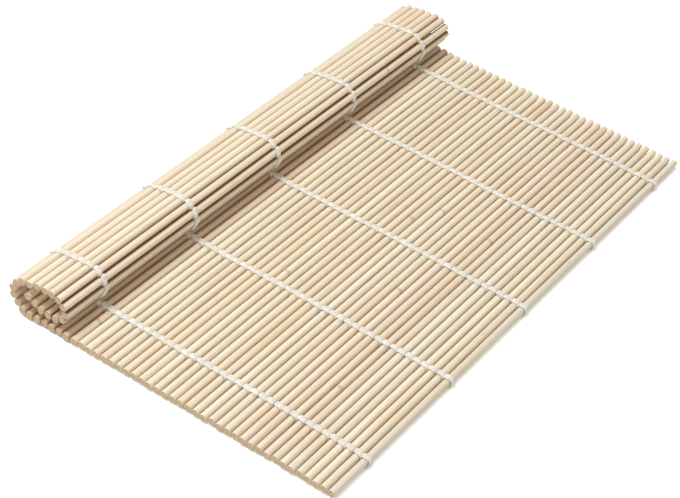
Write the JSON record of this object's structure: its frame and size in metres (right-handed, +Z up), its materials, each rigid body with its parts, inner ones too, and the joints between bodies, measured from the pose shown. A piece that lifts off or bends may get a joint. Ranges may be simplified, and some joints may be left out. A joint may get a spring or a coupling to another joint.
{
  "type": "sushi rolling mat",
  "caption": "Rolling mat of thin round wooden rods laced side by side with cotton cord, one end rolled up; folds between its rods.",
  "frame": {"origin": "bottom centre of the mat's box, on the table it lies on", "axes": "+X along the rods, +Y from the front edge toward the rolled end, +Z up"},
  "size_m": [0.24, 0.135, 0.0181],
  "materials": {
    "bamboo": "bare split bamboo, dry and matt, with fine grain",
    "cotton_cord": "twined white cotton cord, matt"
  },
  "bodies": {
    "front_1": {"front_1_rods": "bamboo", "front_1_lacing": "cotton_cord"},
    "front_2": {"front_2_rods": "bamboo", "front_2_lacing": "cotton_cord"},
    "front_3": {"front_3_rods": "bamboo", "front_3_lacing": "cotton_cord"},
    "front_4": {"front_4_rods": "bamboo", "front_4_lacing": "cotton_cord"},
    "front_5": {"front_5_rods": "bamboo", "front_5_lacing": "cotton_cord"},
    "front_6": {"front_6_rods": "bamboo", "front_6_lacing": "cotton_cord"},
    "front_7": {"front_7_rods": "bamboo", "front_7_lacing": "cotton_cord"},
    "front_8": {"front_8_rods": "bamboo", "front_8_lacing": "cotton_cord"},
    "field_1": {"field_1_rods": "bamboo", "field_1_lacing": "cotton_cord"},
    "field_2": {"field_2_rods": "bamboo", "field_2_lacing": "cotton_cord"},
    "field_3": {"field_3_rods": "bamboo", "field_3_lacing": "cotton_cord"},
    "field_4": {"field_4_rods": "bamboo", "field_4_lacing": "cotton_cord"},
    "field_5": {"field_5_rods": "bamboo", "field_5_lacing": "cotton_cord"},
    "field_6": {"field_6_rods": "bamboo", "field_6_lacing": "cotton_cord"},
    "base": {"base_rods": "bamboo", "base_lacing": "cotton_cord"},
    "far_bend_1": {"far_bend_1_rods": "bamboo", "far_bend_1_lacing": "cotton_cord"},
    "far_bend_2": {"far_bend_2_rods": "bamboo", "far_bend_2_lacing": "cotton_cord"},
    "far_bend_3": {"far_bend_3_rods": "bamboo", "far_bend_3_lacing": "cotton_cord"},
    "far_bend_4": {"far_bend_4_rods": "bamboo", "far_bend_4_lacing": "cotton_cord"},
    "far_bend_5": {"far_bend_5_rods": "bamboo", "far_bend_5_lacing": "cotton_cord"},
    "far_bend_6": {"far_bend_6_rods": "bamboo", "far_bend_6_lacing": "cotton_cord"},
    "top_1": {"top_1_rods": "bamboo", "top_1_lacing": "cotton_cord"},
    "top_2": {"top_2_rods": "bamboo", "top_2_lacing": "cotton_cord"},
    "near_bend_1": {"near_bend_1_rods": "bamboo", "near_bend_1_lacing": "cotton_cord"},
    "near_bend_2": {"near_bend_2_rods": "bamboo", "near_bend_2_lacing": "cotton_cord"},
    "near_bend_3": {"near_bend_3_rods": "bamboo", "near_bend_3_lacing": "cotton_cord"},
    "near_bend_4": {"near_bend_4_rods": "bamboo", "near_bend_4_lacing": "cotton_cord"},
    "inner_1": {"inner_1_rods": "bamboo", "inner_1_lacing": "cotton_cord"},
    "inner_2": {"inner_2_rods": "bamboo", "inner_2_lacing": "cotton_cord"},
    "inner_3": {"inner_3_rods": "bamboo", "inner_3_lacing": "cotton_cord"}
  },
  "joints": [
    {"name": "field_fold", "type": "hinge", "parent": "base", "child": "field_6", "pos_m": [0, 0.04044, 0.00198], "axis": [-1, 0, 0], "range_deg": [0, 17]},
    {"name": "field_fold_2", "type": "hinge", "parent": "field_6", "child": "field_5", "pos_m": [0, 0.03096, 0.00198], "axis": [-1, 0, 0], "range_deg": [0, 17]},
    {"name": "field_fold_3", "type": "hinge", "parent": "field_5", "child": "field_4", "pos_m": [0, 0.02148, 0.00198], "axis": [-1, 0, 0], "range_deg": [0, 17]},
    {"name": "field_fold_4", "type": "hinge", "parent": "field_4", "child": "field_3", "pos_m": [0, 0.012, 0.00198], "axis": [-1, 0, 0], "range_deg": [0, 17]},
    {"name": "field_fold_5", "type": "hinge", "parent": "field_3", "child": "field_2", "pos_m": [0, 0.00252, 0.00198], "axis": [-1, 0, 0], "range_deg": [0, 17]},
    {"name": "field_fold_6", "type": "hinge", "parent": "field_2", "child": "field_1", "pos_m": [0, -0.00696, 0.00198], "axis": [-1, 0, 0], "range_deg": [0, 17]},
    {"name": "field_fold_7", "type": "hinge", "parent": "field_1", "child": "front_8", "pos_m": [0, -0.01644, 0.00198], "axis": [-1, 0, 0], "range_deg": [0, 17]},
    {"name": "front_fold", "type": "hinge", "parent": "front_8", "child": "front_7", "pos_m": [0, -0.02276, 0.00198], "axis": [-1, 0, 0], "range_deg": [0, 30]},
    {"name": "front_fold_2", "type": "hinge", "parent": "front_7", "child": "front_6", "pos_m": [0, -0.02908, 0.00198], "axis": [-1, 0, 0], "range_deg": [0, 30]},
    {"name": "front_fold_3", "type": "hinge", "parent": "front_6", "child": "front_5", "pos_m": [0, -0.0354, 0.00198], "axis": [-1, 0, 0], "range_deg": [0, 30]},
    {"name": "front_fold_4", "type": "hinge", "parent": "front_5", "child": "front_4", "pos_m": [0, -0.04172, 0.00198], "axis": [-1, 0, 0], "range_deg": [0, 30]},
    {"name": "front_fold_5", "type": "hinge", "parent": "front_4", "child": "front_3", "pos_m": [0, -0.04804, 0.00198], "axis": [-1, 0, 0], "range_deg": [0, 30]},
    {"name": "front_fold_6", "type": "hinge", "parent": "front_3", "child": "front_2", "pos_m": [0, -0.05436, 0.00198], "axis": [-1, 0, 0], "range_deg": [0, 30]},
    {"name": "front_fold_7", "type": "hinge", "parent": "front_2", "child": "front_1", "pos_m": [0, -0.06068, 0.00198], "axis": [-1, 0, 0], "range_deg": [0, 30]},
    {"name": "unroll", "type": "hinge", "parent": "base", "child": "far_bend_1", "pos_m": [0, 0.0594, 0.00198], "axis": [-1, 0, 0], "range_deg": [0, 21]},
    {"name": "unroll_2", "type": "hinge", "parent": "far_bend_1", "child": "far_bend_2", "pos_m": [0, 0.06235, 0.00311], "axis": [-1, 0, 0], "range_deg": [0, 23.5]},
    {"name": "unroll_3", "type": "hinge", "parent": "far_bend_2", "child": "far_bend_3", "pos_m": [0, 0.06461, 0.00532], "axis": [-1, 0, 0], "range_deg": [0, 26]},
    {"name": "unroll_4", "type": "hinge", "parent": "far_bend_3", "child": "far_bend_4", "pos_m": [0, 0.06566, 0.0083], "axis": [-1, 0, 0], "range_deg": [0, 28.5]},
    {"name": "unroll_5", "type": "hinge", "parent": "far_bend_4", "child": "far_bend_5", "pos_m": [0, 0.06517, 0.01142], "axis": [-1, 0, 0], "range_deg": [0, 31]},
    {"name": "unroll_6", "type": "hinge", "parent": "far_bend_5", "child": "far_bend_6", "pos_m": [0, 0.06314, 0.01384], "axis": [-1, 0, 0], "range_deg": [0, 33.5]},
    {"name": "unroll_7", "type": "hinge", "parent": "far_bend_6", "child": "top_1", "pos_m": [0, 0.06011, 0.01474], "axis": [-1, 0, 0], "range_deg": [0, 8]},
    {"name": "unroll_8", "type": "hinge", "parent": "top_1", "child": "top_2", "pos_m": [0, 0.05386, 0.01567], "axis": [-1, 0, 0], "range_deg": [0, 4]},
    {"name": "unroll_9", "type": "hinge", "parent": "top_2", "child": "near_bend_1", "pos_m": [0, 0.04756, 0.01617], "axis": [-1, 0, 0], "range_deg": [0, 29]},
    {"name": "unroll_10", "type": "hinge", "parent": "near_bend_1", "child": "near_bend_2", "pos_m": [0, 0.04468, 0.01486], "axis": [-1, 0, 0], "range_deg": [0, 33]},
    {"name": "unroll_11", "type": "hinge", "parent": "near_bend_2", "child": "near_bend_3", "pos_m": [0, 0.04298, 0.01219], "axis": [-1, 0, 0], "range_deg": [0, 37]},
    {"name": "unroll_12", "type": "hinge", "parent": "near_bend_3", "child": "near_bend_4", "pos_m": [0, 0.04323, 0.00904], "axis": [-1, 0, 0], "range_deg": [0, 41]},
    {"name": "unroll_13", "type": "hinge", "parent": "near_bend_4", "child": "inner_1", "pos_m": [0, 0.04548, 0.00683], "axis": [-1, 0, 0], "range_deg": [0, 39]},
    {"name": "unroll_14", "type": "hinge", "parent": "inner_1", "child": "inner_2", "pos_m": [0, 0.05178, 0.00622], "axis": [-1, 0, 0], "range_deg": [0, 28]},
    {"name": "unroll_15", "type": "hinge", "parent": "inner_2", "child": "inner_3", "pos_m": [0, 0.05761, 0.00864], "axis": [-1, 0, 0], "range_deg": [0, 17]}
  ],
  "couplings": [
    {"joint": "field_fold_2", "follows": "field_fold", "ratio": 1},
    {"joint": "field_fold_3", "follows": "field_fold", "ratio": 1},
    {"joint": "field_fold_4", "follows": "field_fold", "ratio": 1},
    {"joint": "field_fold_5", "follows": "field_fold", "ratio": 1},
    {"joint": "field_fold_6", "follows": "field_fold", "ratio": 1},
    {"joint": "field_fold_7", "follows": "field_fold", "ratio": 1},
    {"joint": "front_fold_2", "follows": "front_fold", "ratio": 1},
    {"joint": "front_fold_3", "follows": "front_fold", "ratio": 1},
    {"joint": "front_fold_4", "follows": "front_fold", "ratio": 1},
    {"joint": "front_fold_5", "follows": "front_fold", "ratio": 1},
    {"joint": "front_fold_6", "follows": "front_fold", "ratio": 1},
    {"joint": "front_fold_7", "follows": "front_fold", "ratio": 1},
    {"joint": "unroll_2", "follows": "unroll", "ratio": 1.119},
    {"joint": "unroll_3", "follows": "unroll", "ratio": 1.2381},
    {"joint": "unroll_4", "follows": "unroll", "ratio": 1.3571},
    {"joint": "unroll_5", "follows": "unroll", "ratio": 1.4762},
    {"joint": "unroll_6", "follows": "unroll", "ratio": 1.5952},
    {"joint": "unroll_7", "follows": "unroll", "ratio": 0.38095},
    {"joint": "unroll_8", "follows": "unroll", "ratio": 0.19048},
    {"joint": "unroll_9", "follows": "unroll", "ratio": 1.381},
    {"joint": "unroll_10", "follows": "unroll", "ratio": 1.5714},
    {"joint": "unroll_11", "follows": "unroll", "ratio": 1.7619},
    {"joint": "unroll_12", "follows": "unroll", "ratio": 1.9524},
    {"joint": "unroll_13", "follows": "unroll", "ratio": 1.8571},
    {"joint": "unroll_14", "follows": "unroll", "ratio": 1.3333},
    {"joint": "unroll_15", "follows": "unroll", "ratio": 0.80952}
  ]
}
